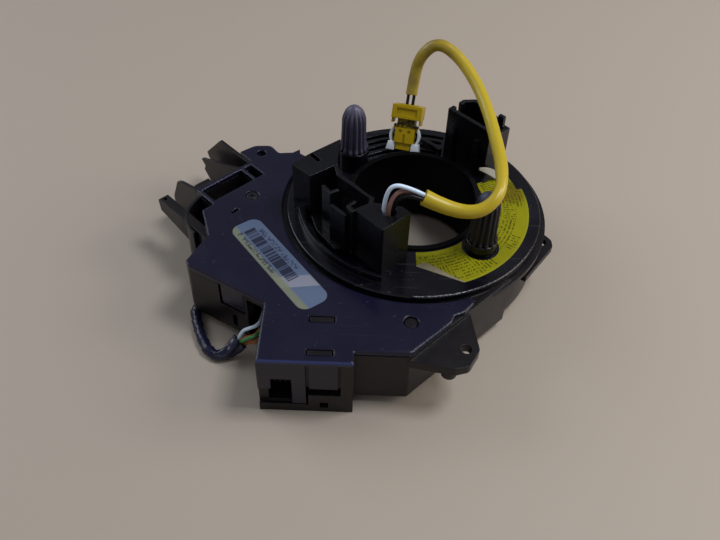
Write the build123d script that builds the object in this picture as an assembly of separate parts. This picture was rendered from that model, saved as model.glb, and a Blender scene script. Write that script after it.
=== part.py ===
from build123d import *
import math
import os

os.makedirs("parts", exist_ok=True)

# Steering clock spring, in millimetres. The origin is on the reel's axis, level with the top of
# its rim. +Z points to the steering wheel, +Y to the back and +X to the right.

# Heights
cover_level = -1.0
cover_thickness = 2.2
floor_level = -25.0
floor_thickness = 2.0
box_depth = 2.5
wing_depth = 3.0
stand_height = 7.0
wall = 2.0

# Reel
disc_radius = 55.0
disc_thickness = 3.0
bore_radius = 27.0
hub_wall = 2.2
hub_reach = 4.5
collar_front_height = 0.8
collar_back_height = 5.5
retaining_ring_width = 5.2

# Gaps
running_gap = 0.4
slip_fit = 0.05
slip_gap = 0.3
cover_gap = 2.2

# Drum
drum_wall = 2.0
drum_flange_overhang = 2.6
drum_flange_thickness = 1.8
collar_offset = 9.8
rest_collar_wall = 2.4

# Ribbon
ribbon_thickness = 0.35
ribbon_width = 14.0
ribbon_turns = 5
ribbon_margin = 2.8

# Drive pins
pin_offset = 8.2
pin_angle = -43.5
pin_radius = 5.8
pin_height = 22.2
pin_dome_height = 8.0
pin_flutes = 14
pin_foot_height = 2.4
pin_post_radius = 2.6
pin_post_height = 10.0
right_boss_height = 7.8
left_boss_height = 9.6

# Towers on the reel
tower_wall = 1.8
tower_height = 23.0
centre_height = 24.0
shroud_height = 25.0

# Fixings and sockets
ear_hole_radius = 2.1
screw_head_radius = 2.5
screw_recess_radius = 2.9
contact_size = 0.64

# Leads
sleeve_diameter = 5.2
lead_wire_diameter = 1.7
harness_diameter = 4.4
harness_wire_diameter = 1.5

# Derived sizes
cover_under = cover_level - cover_thickness
cover_cutout_radius = disc_radius + cover_gap
box_floor_level = floor_level - box_depth
wing_floor_level = floor_level - wing_depth
rest_level = floor_level - stand_height
hub_radius = bore_radius + hub_wall
hub_bottom = floor_level - hub_reach
drum_radius = disc_radius
drum_inner_radius = drum_radius - drum_wall
drum_flange_radius = drum_radius + drum_flange_overhang
flange_top = -disc_thickness - 0.8
flange_bottom = flange_top - drum_flange_thickness
rest_collar_outer = hub_radius + collar_offset
ribbon_inner_radius = hub_radius + ribbon_margin
ribbon_outer_radius = drum_inner_radius - ribbon_margin
ribbon_low = floor_level + floor_thickness + 1.5
pin_circle_radius = hub_radius + pin_offset
pin_foot_radius = pin_radius + 1.1
diagonal = Rot(0, 0, 45)


def outline(points):
    """Flat closed face through (x, y) or (x, y, corner radius) points."""
    corners = [(point[0], point[1]) for point in points]
    radii = [point[2] if len(point) > 2 else 0.0 for point in points]
    return make_face(FilletPolyline(*corners, radius=radii, close=True))


def prism(points, low, high):
    return Pos(0, 0, low) * extrude(outline(points), high - low)


def inset_prism(points, inset, low, high):
    face = offset(outline(points), amount=-inset, kind=Kind.INTERSECTION)
    return Pos(0, 0, low) * extrude(face, high - low)


def block(x_low, x_high, y_low, y_high, low, high):
    size = (x_high - x_low, y_high - y_low, high - low)
    corner = (Align.MIN, Align.MIN, Align.MIN)
    return Pos(x_low, y_low, low) * Box(*size, align=corner)


def rod(radius, low, high, x=0.0, y=0.0):
    upright = (Align.CENTER, Align.CENTER, Align.MIN)
    return Pos(x, y, low) * Cylinder(radius, high - low, align=upright)


def ring(outer, inner, low, high):
    return rod(outer, low, high) - rod(inner, low - 1, high + 1)


def sector_ring(outer, inner, low, high, start, end):
    """Part of a ring from one angle to another, in degrees."""
    middle = Pos((outer + inner) / 2, (low + high) / 2)
    section = Plane.XZ * middle * Rectangle(outer - inner, high - low)
    return Rot(0, 0, start) * revolve(section, Axis.Z, end - start)


def side_plate(points, low, high):
    """Upright plate drawn in the Y-Z plane and as thick as low to high along X."""
    return Pos(low, 0, 0) * extrude(Plane.YZ * outline(points), high - low)


def front_plate(points, low, high):
    """Upright plate drawn in the X-Z plane and as thick as low to high along Y."""
    return Pos(0, high, 0) * extrude(Plane.XZ * outline(points), high - low)


def polar(radius, angle):
    turn = math.radians(angle)
    return radius * math.cos(turn), radius * math.sin(turn)


# Housing outline, from the right-hand tangent on the drum round to the column-switch block
front_face = -87.5
front_wall = -86.0
wing_face = -82.0
block_left = -59.3
block_right = -23.3
left_corner = (-93.0, -39.4)
left_face_start = (-91.2, -41.2)
left_face_end = (-59.0, -59.6)
switch_left, switch_right, switch_out = -64.3, -33.7, 71.0
guard_radius = 17.6

left_face_angle = math.degrees(
    math.atan2(left_face_end[1] - left_face_start[1], left_face_end[0] - left_face_start[0])
)
left_face = Pos(left_face_start[0], left_face_start[1], 0) * Rot(0, 0, left_face_angle)


def from_diagonal(along, out):
    """Point of the diagonal frame, which the column-switch block and the towers follow."""
    half = math.sqrt(0.5)
    return (along - out) * half, (along + out) * half


outer_edge = [
    (block_left, front_wall),
    (block_right, front_wall),
    (block_right, wing_face),
    (-2.6, wing_face, 1.5),
    (39.0, -40.4),
]
left_edge = [
    from_diagonal(switch_right, switch_out),
    from_diagonal(switch_left, switch_out),
    from_diagonal(switch_left, 58.6),
    (-91.0, -8.2),
    (-86.2, -23.5),
    (*left_corner, 2.5),
    left_face_start,
    left_face_end,
]
housing_outline = outer_edge + [(10.0, -20.0), (-30.0, 20.0), (-47.0, 30.5), (-60.0, 32.0)] + left_edge
left_box_region = [(-97.0, -48.0), (-58.0, -66.0), (-46.0, -48.0), (-74.0, -16.0), (-97.0, -18.0)]
front_block_region = [(-70.0, -95.0), (block_right, -95.0), (block_right, -62.0), (-70.0, -62.0)]
wing_region = [(block_right - 2, -95.0), (60.0, -95.0), (60.0, -36.0), (block_right - 2, -36.0)]

big_window = (-62.5, -41.0, 60.0, 69.3)
small_window = (-39.5, -35.2, 60.0, 69.2)
socket_floor = -20.0

front_socket = (-55.5, -45.5, -26.5, -11.5)
front_socket_depth = 12.0
front_window = (-54.3, -46.5, -25.7, -12.0)

snap_windows = [(-41.0, -31.0, -68.3, -65.2), (-41.0, -31.0, -84.2, -81.3)]
snap_clearance = 0.45
cover_tab = (15.8, 26.9, -13.3)
cover_tab_groove = 1.2
skirt_thickness = 1.4
front_tab = (-40.0, -29.0, -18.0)

cover_screw = (-70.8, 2.6)
cover_post = (-2.2, -66.7)
left_ear_hole = (-70.0, 32.5)
front_ear_hole = (18.7, -75.7)
right_ear_hole = (56.1, -11.2)
front_ear_levels = (-9.0, -5.0)
right_ear_levels = (-12.5, -10.0)
left_ear_bottom = -7.2


def top_cover():
    """Plate that closes the housing, with the reel's cut-out, socket windows and fixing ear."""
    edge = [
        (block_left, front_face, 0.8),
        (block_right, front_face, 0.8),
        (block_right, wing_face + 0.2),
        (-2.2, wing_face + 0.2, 1.5),
        (13.0, -66.6),
        (14.5, -62.8),
        (18.6, -60.8),
        (22.5, -56.0),
        (20.0, -48.0),
        (-30.0, 20.0),
        (-48.5, 30.8),
        (-52.0, 33.2),
        (-52.4, 36.3),
        (-55.5, 33.8),
        (-62.0, 33.0, 2.0),
        (-66.2, 38.4, 3.5),
        (-73.6, 37.8, 4.0),
        (-80.3, 32.6, 1.0),
    ]
    plate = prism(edge + left_edge, cover_under, cover_level)
    plate -= rod(cover_cutout_radius, cover_under - 1, cover_level + 1)
    front_edges = plate.edges().filter_by(Axis.X).group_by(Axis.Z)[-1].group_by(Axis.Y)
    plate = fillet(front_edges[0] + front_edges[1], 0.8)
    for left, right, near, far in (big_window, small_window):
        plate -= diagonal * block(left, right, near, far, cover_under - 1, cover_level + 1)
    for left, right, near, far in snap_windows:
        plate -= block(left, right, near, far, cover_under - 1, cover_level + 1)
    plate -= rod(ear_hole_radius, cover_under - 1, 1, *left_ear_hole)
    plate -= rod(screw_recess_radius, cover_level - 1.4, 1, *cover_screw)
    plate -= rod(1.4, cover_under - 1, 1, *cover_screw)
    plate -= rod(screw_recess_radius, cover_under - 1, 1, *cover_post)
    slot = Pos(-77.0, -7.8) * Rot(0, 0, 52) * SlotOverall(4.0, 1.5)
    plate -= Pos(0, 0, cover_under - 1) * extrude(slot, cover_thickness + 2)
    skirt = front_plate(
        [
            (block_left, cover_under),
            (block_left, -18.0),
            (front_window[0], -18.0),
            (front_window[0], front_window[3]),
            (front_window[1], front_window[3]),
            (front_window[1], -27.0),
            (front_tab[0] - 1.2, -27.0),
            (front_tab[0] - 1.2, cover_under),
        ],
        front_face,
        front_face + skirt_thickness,
    )
    tab_left, tab_right, tab_low = front_tab
    tab_back = front_face + skirt_thickness
    tab = block(tab_left, tab_right, front_face + 0.3, tab_back, tab_low, cover_under)
    side_tab = left_face * block(
        cover_tab[0], cover_tab[1], 0.0, skirt_thickness, cover_tab[2], cover_under
    )
    return plate + skirt + tab + side_tab


def socket_fins():
    """Guide fins and arm that the column switch slides between, in the diagonal frame."""
    low_tie = block(-40.2, -34.5, switch_out - 1, 95.0, -24.5, -22.5)
    ledge = block(-63.0, -55.5, switch_out - 1, 74.2, cover_under - 2.0, cover_level)
    right_fin = side_plate(
        [(70.0, -1.0), (92.7, -1.0), (104.8, -14.1), (103.5, -17.0), (88.0, -24.5), (70.0, -24.5)],
        switch_right - 1.9,
        switch_right - slip_gap,
    )
    middle_fin = side_plate(
        [(70.0, -1.0), (102.0, -14.0), (99.3, -16.8), (100.6, -19.4), (96.0, -24.5), (70.0, -24.5)],
        -41.0,
        -39.4,
    )
    left_hook = side_plate(
        [(70.0, -1.0), (84.0, -4.6), (86.8, -6.0), (92.0, -17.5), (92.0, -24.5), (70.0, -24.5)],
        switch_left,
        switch_left + 1.6,
    )
    arm = side_plate(
        [(43.0, -3.5), (80.0, -3.9), (81.2, -5.0), (80.4, -10.6), (60.0, -14.4), (43.0, -16.0)],
        -78.0,
        -73.6,
    )
    arm -= rod(0.9, -6.0, 0.0, -76.0, 78.4)
    fins = low_tie + ledge + right_fin + middle_fin + left_hook + arm
    return fins - block(-80, -20, 40, switch_out + slip_gap, cover_under, 0)


def curved_guard():
    """Thin curved wall and floor of the open pocket at the left of the column-switch block."""
    outer = guard_radius
    guard = sector_ring(outer, outer - 1.1, -22.0, cover_under - 0.3, 88, 180)
    pocket_floor = sector_ring(outer - 0.5, 3.0, -22.0, -20.4, 88, 180)
    guard_centre = Pos(switch_left + 2.0, 52.0, 0)
    return guard_centre * (guard + pocket_floor)


def drum_housing():
    """Moulded housing: drum, front socket block, left box, column-switch block, guides and ears."""
    body = prism(housing_outline, floor_level, cover_under)
    deep = (
        (left_box_region, box_floor_level),
        (front_block_region, rest_level),
        (wing_region, wing_floor_level),
    )
    footprint = outline(housing_outline)
    for region, bottom in deep:
        part_face = footprint & outline(region) - Circle(drum_radius)
        body += Pos(0, 0, bottom) * extrude(part_face, floor_level - bottom + 1)
    body += rod(drum_radius, floor_level, flange_top)

    inner_face = offset(footprint, amount=-wall, kind=Kind.INTERSECTION)
    switch_block = diagonal * block(-67.0, -20.0, 57.5, 90.0, -40.0, 0.0)
    hollow = Pos(0, 0, floor_level + floor_thickness) * extrude(inner_face, -floor_level)
    for region, bottom in deep:
        inner_region = offset(outline(region), amount=-wall, kind=Kind.INTERSECTION)
        part_face = inner_face & inner_region - Circle(drum_radius + wall)
        hollow += Pos(0, 0, bottom + floor_thickness) * extrude(part_face, floor_level - bottom + 1)
    hollow -= switch_block
    hollow -= rod(drum_radius, -60, 10)
    body -= hollow
    body -= rod(drum_inner_radius, floor_level + floor_thickness, 1)
    body -= rod(hub_radius + running_gap, floor_level - 1, 1)
    body += ring(drum_flange_radius, drum_inner_radius, flange_bottom, flange_top)

    for left, right, near, far in (big_window, small_window):
        body -= diagonal * block(left, right, near, far, socket_floor, 1)
    body += diagonal * (socket_fins() + curved_guard())

    left, right, low, high = front_socket
    back = front_wall + front_socket_depth
    body += block(left - 1.5, right + 1.5, front_wall, back + 1.5, rest_level, high + 1.5)
    body -= block(left, right, front_wall - 2, back, low, high)
    body -= block(left + 0.4, right - 0.4, back - 1, back + 3, low + 0.4, high - 0.4)
    body += block(block_left, block_right, front_face, front_wall, rest_level, -27.6)
    column_left = front_tab[1] + 1.0
    body += block(column_left, block_right, front_face, front_wall, rest_level, cover_under)
    panel_left, panel_top = front_tab[0] - 0.4, front_tab[2] - 3.6
    body += block(panel_left, column_left, front_face, front_wall, rest_level, panel_top)
    body -= block(panel_left, column_left, front_face - 1, front_wall + 3, panel_top, panel_top + 3.0)
    body -= block(panel_left - 0.8, panel_left, front_face - 1, front_wall + 3, -28.0, -18.0)
    body -= block(-36.0, -32.8, front_face - 1, front_wall + 3, -29.6, -26.2)

    tab_left, tab_right, tab_low = cover_tab
    recess_low = tab_low - 1.6
    body += left_face * block(
        tab_left - 3, tab_right + 2, 1.0, wall + 1.8, recess_low - 2, cover_under
    )
    body -= left_face * block(
        tab_left - cover_tab_groove, tab_right + 0.2, -1.0, wall - 0.2, recess_low, 1
    )
    body -= left_face * block(20.2, 22.5, -1, wall + 3, -24.8, -18.0)
    body -= left_face * block(28.5, 36.0, -1, wall + 3, box_floor_level + 1.5, -4.5)

    for left, right, near, far in snap_windows:
        body += block(
            left + snap_clearance,
            right - snap_clearance,
            near + 0.2,
            far - snap_clearance,
            rest_level + 1,
            cover_level - 0.15,
        )
    body += rod(screw_recess_radius - 0.5, wing_floor_level + 1, cover_level - 0.5, *cover_post)
    screw_boss = rod(3.4, floor_level, cover_under, *cover_screw)
    body += screw_boss
    body -= rod(1.2, -16.0, 1, *cover_screw)

    ear = prism(
        [
            (-80.0, 31.0),
            (-73.0, 37.2, 4.0),
            (-66.6, 37.8, 3.5),
            (-60.0, 31.4),
            (-66.0, 20.0),
            (-74.5, 24.0),
        ],
        left_ear_bottom,
        cover_under,
    )
    body += ear
    body -= rod(ear_hole_radius, -30, 1, *left_ear_hole)
    low, high = front_ear_levels
    body += prism(
        [
            (-4.0, wing_face),
            (14.0, -85.3, 2.0),
            (19.6, -83.6, 3.0),
            (23.8, -76.0, 3.0),
            (21.0, -55.5),
            (14.0, -62.0),
        ],
        low,
        high,
    )
    body += rod(3.0, low - 3.0, low + 0.5, 12.4, -82.0)
    body -= rod(ear_hole_radius, low - 1, high + 1, *front_ear_hole)
    low, high = right_ear_levels
    body += prism(
        [
            polar(drum_radius - 2.0, -2.0),
            (56.4, -4.3, 2.0),
            (60.7, -9.8, 3.0),
            (60.7, -14.0, 3.0),
            (47.0, -33.0),
            polar(drum_radius - 2.0, -35.0),
        ],
        low,
        high,
    ) - rod(drum_inner_radius + 1, low - 1, high + 1)
    body -= rod(ear_hole_radius, low - 1, high + 1, *right_ear_hole)
    return body


def base_ring():
    """Ring under the drum floor with the collar that the part stands on."""
    inner = hub_radius + retaining_ring_width + 0.8
    plate = ring(drum_inner_radius - 1, inner, floor_level - 2.0, floor_level)
    collar = ring(
        rest_collar_outer, rest_collar_outer - rest_collar_wall, rest_level, floor_level - 1.0
    )
    ribs = Part()
    for index in range(8):
        rib_start, rib_end = rest_collar_outer - 0.5, drum_inner_radius - 1.5
        rib = block(rib_start, rib_end, -0.8, 0.8, floor_level - 5.0, floor_level - 1.5)
        ribs += Rot(0, 0, 22.5 + 45 * index) * rib
    return plate + collar + ribs


def circuit_carrier():
    """Board that joins the ribbon's end to the sockets, on four posts of its own."""
    board = prism(
        [
            (-83.5, -36.0),
            (-63.5, -46.8),
            (-56.5, -53.0),
            (-56.5, -64.6),
            (-28.0, -64.6),
            (-28.0, -60.0),
            (-52.0, -34.0),
            (-67.0, -10.0),
            (-78.0, -16.0),
        ],
        -9.4,
        -7.8,
    )
    for x, y in ((-69.0, -14.0), (-52.0, -60.0), (-32.0, -62.5)):
        board += rod(1.8, floor_level + floor_thickness, -9.4, x, y)
    board += rod(1.8, box_floor_level + floor_thickness, -9.4, -80.0, -34.0)
    return board


def front_socket_insert():
    """Insulator in the back of the front socket."""
    left, right, low, high = front_socket
    back = front_wall + front_socket_depth
    insert = block(left + 0.6, right - 0.6, back - 0.8, back + 1.5, low + 0.6, high - 0.6)
    insert += block(left - 0.6, right + 0.6, back + 1.5, back + 3.5, low - 0.6, high + 0.6)
    return insert - front_contacts(0.04)


def front_contacts(spare=0.0):
    """Contacts of the front socket: spare widens them for the holes that they sit in."""
    left, right, low, high = front_socket
    back = front_wall + front_socket_depth
    size = contact_size + 2 * spare
    contacts = Part()
    for column in range(4):
        for row in range(2):
            x = (left + right) / 2 + (column - 1.5) * 2.0
            z = (low + high) / 2 + (row - 0.5) * 6.0
            contacts += Pos(x, back - 1.0, z) * Box(size, 12.0, size)
    return contacts


def upright_contact(x, y, low, high):
    half = contact_size / 2
    return block(x - half, x + half, y - half, y + half, low, high)


def switch_contacts():
    """Contacts that stand in the column-switch sockets."""
    left, right, near, far = big_window
    contacts = []
    for column in range(7):
        for row in range(2):
            x = (left + right) / 2 + (column - 3) * 2.6
            y = (near + far) / 2 + (row - 0.5) * 4.4
            contacts.append(upright_contact(x, y, socket_floor, socket_floor + 6.0))
    left, right, near, far = small_window
    for row in range(3):
        x = (left + right) / 2
        y = (near + far) / 2 + (row - 1) * 2.6
        contacts.append(upright_contact(x, y, socket_floor, socket_floor + 6.0))
    return Compound(children=[diagonal * contact for contact in contacts])


def screw(low, high, x, y):
    """Pan-head screw with a cross recess, standing on low with its head's top at high."""
    head_low = high - 1.4
    body = rod(1.15, low, head_low, x, y) + rod(screw_head_radius, head_low, high, x, y)
    body = fillet(body.edges().filter_by(GeomType.CIRCLE).group_by(Axis.Z)[-1], 0.5)
    for angle in (20, 110):
        body -= Pos(x, y, high) * Rot(0, 0, angle) * Box(2.8, 0.6, 1.4)
    return body


def ribbon():
    """Flat cable wound in loose turns round the hub, drawn as half circles about two centres."""
    half_turns = 2 * ribbon_turns
    step = (ribbon_outer_radius - ribbon_inner_radius - ribbon_thickness) / half_turns
    edges = []
    for index in range(half_turns):
        sign = 1 if index % 2 == 0 else -1
        radius = ribbon_inner_radius + index * step
        centre = 0.0 if index % 2 == 0 else -step
        start = 0 if sign == 1 else 180
        lap = sector_ring(
            radius + ribbon_thickness, radius, ribbon_low, ribbon_low + ribbon_width, start, start + 180
        )
        edges.append(Pos(centre, 0, 0) * lap)
    cable = edges[0]
    for lap in edges[1:]:
        cable += lap
    return cable


def hub_sleeve():
    """Bore sleeve of the reel, with the shoulder that carries the disc and the collar on top."""
    sleeve = ring(hub_radius, bore_radius, hub_bottom, collar_back_height)
    sleeve += ring(hub_radius + 3.0, bore_radius, -disc_thickness - 2.0, -disc_thickness)
    sleeve += ring(hub_radius + 1.0, bore_radius, hub_bottom, hub_bottom + 1.5)
    rise = collar_back_height - collar_front_height
    slope = side_plate(
        [
            (-40.0, collar_front_height),
            (-6.0, collar_front_height),
            (12.0, collar_front_height + rise),
            (12.0, 20.0),
            (-40.0, 20.0),
        ],
        -40.0,
        40.0,
    )
    sleeve -= slope
    return sleeve


def retaining_ring():
    """Ring that holds the reel in the drum from below, with grip notches on its rim."""
    outer = hub_radius + retaining_ring_width
    body = ring(outer, hub_radius + slip_fit, hub_bottom + 1.5, floor_level - running_gap)
    for index in range(12):
        x, y = polar(outer + 0.2, 30 * index)
        body -= rod(1.2, hub_bottom, floor_level, x, y)
    return body


def pin_place(index):
    return polar(pin_circle_radius, pin_angle + 180 * index)


def reel_disc():
    """Turning disc: rim, sunk track with its ridge, and slotted back."""
    disc = ring(disc_radius, hub_radius + slip_fit, -disc_thickness, 0)
    rim_edge = disc.edges().filter_by(GeomType.CIRCLE).group_by(Axis.Z)[-1].sort_by(SortBy.LENGTH)[-1]
    disc = fillet(rim_edge, 0.7)
    ridge_inner = disc_radius - 6.3
    disc -= sector_ring(ridge_inner, hub_radius + 2.3, -1.6, 1, 192, 252)
    disc += sector_ring(ridge_inner + 1.5, ridge_inner, -1.0, 3.5, 190.5, 254)
    for index in range(4):
        outer = disc_radius - 4.6 - 4.0 * index
        disc -= sector_ring(outer, outer - 2.2, -2.0, 1, 72, 126)
    disc += sector_ring(hub_radius + 4.3, hub_radius + slip_fit, -1.0, 0.6, 52, 122)
    disc += sector_ring(hub_radius + 6.4, hub_radius + 5.0, -2.0, 0.6, 60, 118)
    disc += diagonal * block(33.6, 35.6, 16.0, 27.0, -1.0, 2.4)
    return disc


def pin_boss(index):
    """Round boss that a drive pin stands on, with the post that the pin slips over."""
    top = left_boss_height if index else right_boss_height
    x, y = pin_place(index)
    boss = rod(pin_foot_radius + 0.1, 0, top, x, y)
    boss += rod(pin_post_radius, 0, top + pin_post_height, x, y)
    return boss


def drive_pin(index):
    """Fluted driving pin with a pointed dome and a flared, toothed foot."""
    shoulder = pin_height - pin_dome_height
    profile = Polyline((0.0, 0.0), (pin_radius, 0.0), (pin_radius, shoulder))
    dome_middle = (0.77 * pin_radius, shoulder + 0.6 * pin_dome_height)
    profile += ThreePointArc((pin_radius, shoulder), dome_middle, (0.9, pin_height))
    profile += Polyline((0.9, pin_height), (0.0, pin_height), (0.0, 0.0))
    body = revolve(Plane.XZ * make_face(profile), Axis.Z)
    flare = Cone(pin_foot_radius, pin_radius - 0.3, pin_foot_height)
    body += Pos(0, 0, pin_foot_height / 2) * flare
    for flute in range(pin_flutes):
        angle = 360 / pin_flutes * flute
        body -= rod(0.95, pin_foot_height, pin_height + 1, *polar(pin_radius + 0.45, angle))
        body -= rod(0.6, -1, pin_foot_height + 1, *polar(pin_foot_radius + 0.1, angle))
    body -= rod(pin_post_radius + slip_fit, -1, pin_post_height + 0.5)
    base = left_boss_height if index else right_boss_height
    x, y = pin_place(index)
    return Pos(x, y, base) * body


def terminal_housing():
    """Moulding on the disc: left tower, centre block with its wire hole, and the wall between."""
    left_tower = [
        (-51.8, -4.2),
        (-44.0, -11.6),
        (-33.0, -3.4),
        (-33.2, 2.0),
        (-32.6, 13.6),
        (-45.0, 3.0),
    ]
    centre = [(-25.4, -32.0), (-14.3, -43.2, 0.8), (-3.4, -32.8), (-6.6, -29.4), (-19.0, -27.5)]
    body = prism(left_tower, 0, tower_height)
    body -= inset_prism(left_tower, tower_wall, -1, tower_height - 2.0)
    body -= Pos(-42.3, 0.3, 0) * Rot(0, 0, -50) * block(-3.4, 2.6, -0.9, 0.9, tower_height - 6, 30)
    body += prism(centre, 0, centre_height)
    body -= inset_prism(centre, tower_wall, -1, centre_height - 2.0)
    body -= rod(3.1, centre_height - 4, centre_height + 1, -12.0, -32.2)
    body += prism(
        [
            (-32.9, -3.6),
            (-31.6, -9.6),
            (-17.6, -23.4),
            (-18.6, -28.2),
            (-20.1, -28.2),
            (-19.5, -23.9),
            (-33.1, -10.4),
            (-34.4, -4.4),
        ],
        0,
        tower_height,
    )
    floor = [
        (-33.2, -4.0),
        (-43.8, -11.8),
        (-41.0, -20.5),
        (-33.0, -31.0),
        (-25.0, -30.6),
        (-18.0, -27.5),
        (-18.0, -23.8),
        (-32.4, -9.8),
    ]
    body += prism(floor, 0, 1.4)
    body += prism(
        [
            (-38.8, -17.4),
            (-35.2, -22.0),
            (-31.6, -19.8),
            (-32.4, -18.6),
            (-35.0, -20.2),
            (-37.6, -16.6),
        ],
        1,
        tower_height,
    )
    body += prism([(-35.2, -26.6), (-34.2, -25.6), (-28.0, -31.6), (-28.9, -32.7)], 1, 21.0)
    body += prism(
        [
            (-28.6, -30.0),
            (-26.0, -33.6),
            (-24.9, -32.4),
            (-26.9, -29.9),
            (-24.6, -27.6),
            (-25.4, -26.6),
        ],
        1,
        centre_height,
    )
    body -= rod(hub_radius + slip_gap, -1, centre_height + 1)
    return body


def wheel_switch_shroud():
    """Open-topped plug shroud at the right-hand back of the reel, in the diagonal frame."""
    left, right, near, far = 35.8, 50.2, -9.0, 15.2
    face = [(left, near), (right, near), (right, far - 3.6), (right - 4.4, far), (left, far)]
    body = prism(face, 0, shroud_height)
    body -= inset_prism(face, tower_wall, 2.0, shroud_height + 1)
    body -= block(left + 6.5, right + 1, near - 1, near + 3, shroud_height - 4.5, shroud_height + 1)
    body -= block(right - 3, right + 1, near + 6, far - 8, shroud_height - 2.4, shroud_height + 1)
    body -= block(left + 3.4, left + 7.0, far - 3, far + 1, shroud_height - 6.0, shroud_height + 1)
    body += block(left - 1.4, left + 0.5, near + 5.0, near + 7.0, 0, shroud_height - 7)
    body += block(left - 1.4, left + 0.5, far - 6.0, far - 4.0, 0, shroud_height - 7)
    return diagonal * body


def wheel_switch_contacts():
    contacts = []
    for column in range(2):
        for row in range(6):
            x = 43.0 + (column - 0.5) * 3.6
            y = 3.0 + (row - 2.5) * 2.6
            contacts.append(upright_contact(x, y, 2.0, 9.0))
    return Compound(children=[diagonal * contact for contact in contacts])


def pocket_contacts():
    """Contacts that stand in the pocket beside the centre block."""
    contacts = []
    for index in range(4):
        x, y = -34.2 + 2.6 * index, -14.0 - 2.4 * index
        contacts.append(upright_contact(x, y, 1.4, 9.0))
    return Compound(children=contacts)


def inner_terminal():
    """Block on the hub's shoulder where the ribbon's inner end is joined."""
    shoulder = -disc_thickness - 2.0
    return sector_ring(hub_radius + 2.2, hub_radius + slip_fit, shoulder - 9.0, shoulder, 172, 190)


def outer_terminal():
    """Block on the drum wall where the ribbon's outer end is joined."""
    inner = ribbon_outer_radius + 0.6
    return sector_ring(drum_inner_radius, inner, floor_level + floor_thickness, -8.0, 183, 197)


def bar_code_label():
    face = Pos(-55.5, -37.6) * Rot(0, 0, -52.5) * RectangleRounded(56.0, 13.6, 4.2)
    return Pos(0, 0, cover_level) * extrude(face, 0.15)


def reel_sticker():
    """Sticker on the front right of the disc, cut round the drive pin and torn at one corner."""
    outer = disc_radius - 5.0
    label = sector_ring(outer, hub_radius + 1.2, 0, 0.15, -89.5, -31.0)
    label += sector_ring(outer, hub_radius + 8.2, 0, 0.15, -31.5, 14.0)
    label += sector_ring(outer - 2.4, hub_radius + 2.2, 0, 0.15, 13.5, 27.0)
    x, y = pin_place(0)
    label -= rod(pin_foot_radius + 0.9, -1, 1, x, y)
    label -= prism([(-2.0, -38.4), (0.5, -38.4), (19.5, -46.4), (22.0, -56.0), (-2.0, -56.0)], -1, 1)
    return label - diagonal * block(33.0, 60.0, -12.0, 20.0, -1, 1)


# Air-bag plug. Its own frame has the nose at the origin, Z along the plug and -Y to the front.
plug_nose = (-5.3, 30.4, 5.2)
plug_axis = (0.105, 0.49, 0.865)
plug_side = (0.96, -0.26, 0.03)
plug_lock_travel = 2.0
plug_neck_top = 20.5
plug_lead_start = 25.0


def plug_plane():
    along = Vector(*plug_axis).normalized()
    side = Vector(*plug_side)
    side = (side - along * side.dot(along)).normalized()
    return Plane(origin=plug_nose, x_dir=side, z_dir=along)


def in_plug(shape):
    return plug_plane().location * shape


def plug_point(x, y, z):
    place = plug_plane().location * Pos(x, y, z)
    return place.position


def plug_body():
    """Plug moulding: nose, barrel and the neck that the lock slides on."""
    body = block(-4.5, 4.5, 0.4, 6.8, 3.2, 11.4)
    body = fillet(body.edges().filter_by(Axis.Z), 1.0)
    body += block(-3.4, 3.4, 1.2, 6.0, 0.0, 3.4)
    body += block(-4.0, 4.0, 1.2, 6.2, 11.0, plug_neck_top)
    body += block(-5.6, 5.6, 2.2, 5.4, 9.2, 11.2)
    for x in (-2.0, 2.0):
        body -= Pos(x, 0.2, 8.4) * Rot(90, 0, 0) * Cylinder(0.75, 1.6)
    body -= block(-0.4, 0.4, 0.0, 0.9, 3.2, 7.0)
    return in_plug(body)


def plug_lock():
    """Locking cap round the plug's neck, drawn up in its open place."""
    body = block(-6.8, 6.8, -1.0, 7.8, 14.2, 20.2) - block(-4.35, 4.35, 0.8, 6.6, 10, 24)
    for low, high in ((-6.8, -6.0), (6.0, 6.8)):
        body += block(low, high, 0.6, 5.6, 11.9, 14.4)
    body -= block(-4.6, 4.6, -2.0, -0.4, 15.6, 18.8)
    return in_plug(body)


def plug_clips():
    """White side clips of the plug, with their feet beside the nose."""
    clips = []
    for sign in (-1, 1):
        low, high = sorted((sign * 4.6, sign * 5.5))
        foot_low, foot_high = sorted((sign * 3.6, sign * 7.8))
        arm = block(low, high, 2.4, 5.0, 2.6, 9.0)
        foot = block(foot_low, foot_high, 1.0, 5.8, -0.6, 3.0)
        clips.append(in_plug(arm + foot))
    return Compound(children=clips)


def cord_tube(points, diameter, name):
    """Round lead through the points of its route, with a wide tangent arc at each corner."""
    path = [Vector(*point) for point in points]
    radii = []
    for before, here, after in zip(path, path[1:], path[2:]):
        turn = math.radians((here - before).get_angle(after - here))
        shorter = min((here - before).length, (after - here).length)
        radii.append(0.45 * shorter / math.tan(turn / 2))
    line = FilletPolyline(*path, radius=radii)
    print(name, "radii", [round(radius, 1) for radius in radii], "length", round(line.length, 1))
    start = Plane(origin=line @ 0, z_dir=line % 0)
    tube = sweep(start * Circle(diameter / 2), path=line)
    full_volume = math.pi * diameter**2 / 4 * line.length
    print(name, "volume over section times length", tube.volume / full_volume)
    return tube


lead_end = plug_point(0, 3.7, plug_lead_start)
lead_rise = plug_point(0, 3.7, plug_lead_start + 10.0)
lead_route = [
    (1.0, -32.0, 31.5),
    (12.0, -34.6, 27.2),
    (23.0, -37.6, 27.2),
    (32.2, -32.4, 33.4),
    (34.4, -17.0, 35.4),
    (33.4, 2.0, 33.6),
    (30.2, 20.0, 35.8),
    (25.0, 34.0, 39.8),
    (17.8, 46.0, 44.8),
    (8.6, 52.0, 48.4),
    (1.6, 51.4, 42.2),
    lead_rise,
    lead_end,
]

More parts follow.
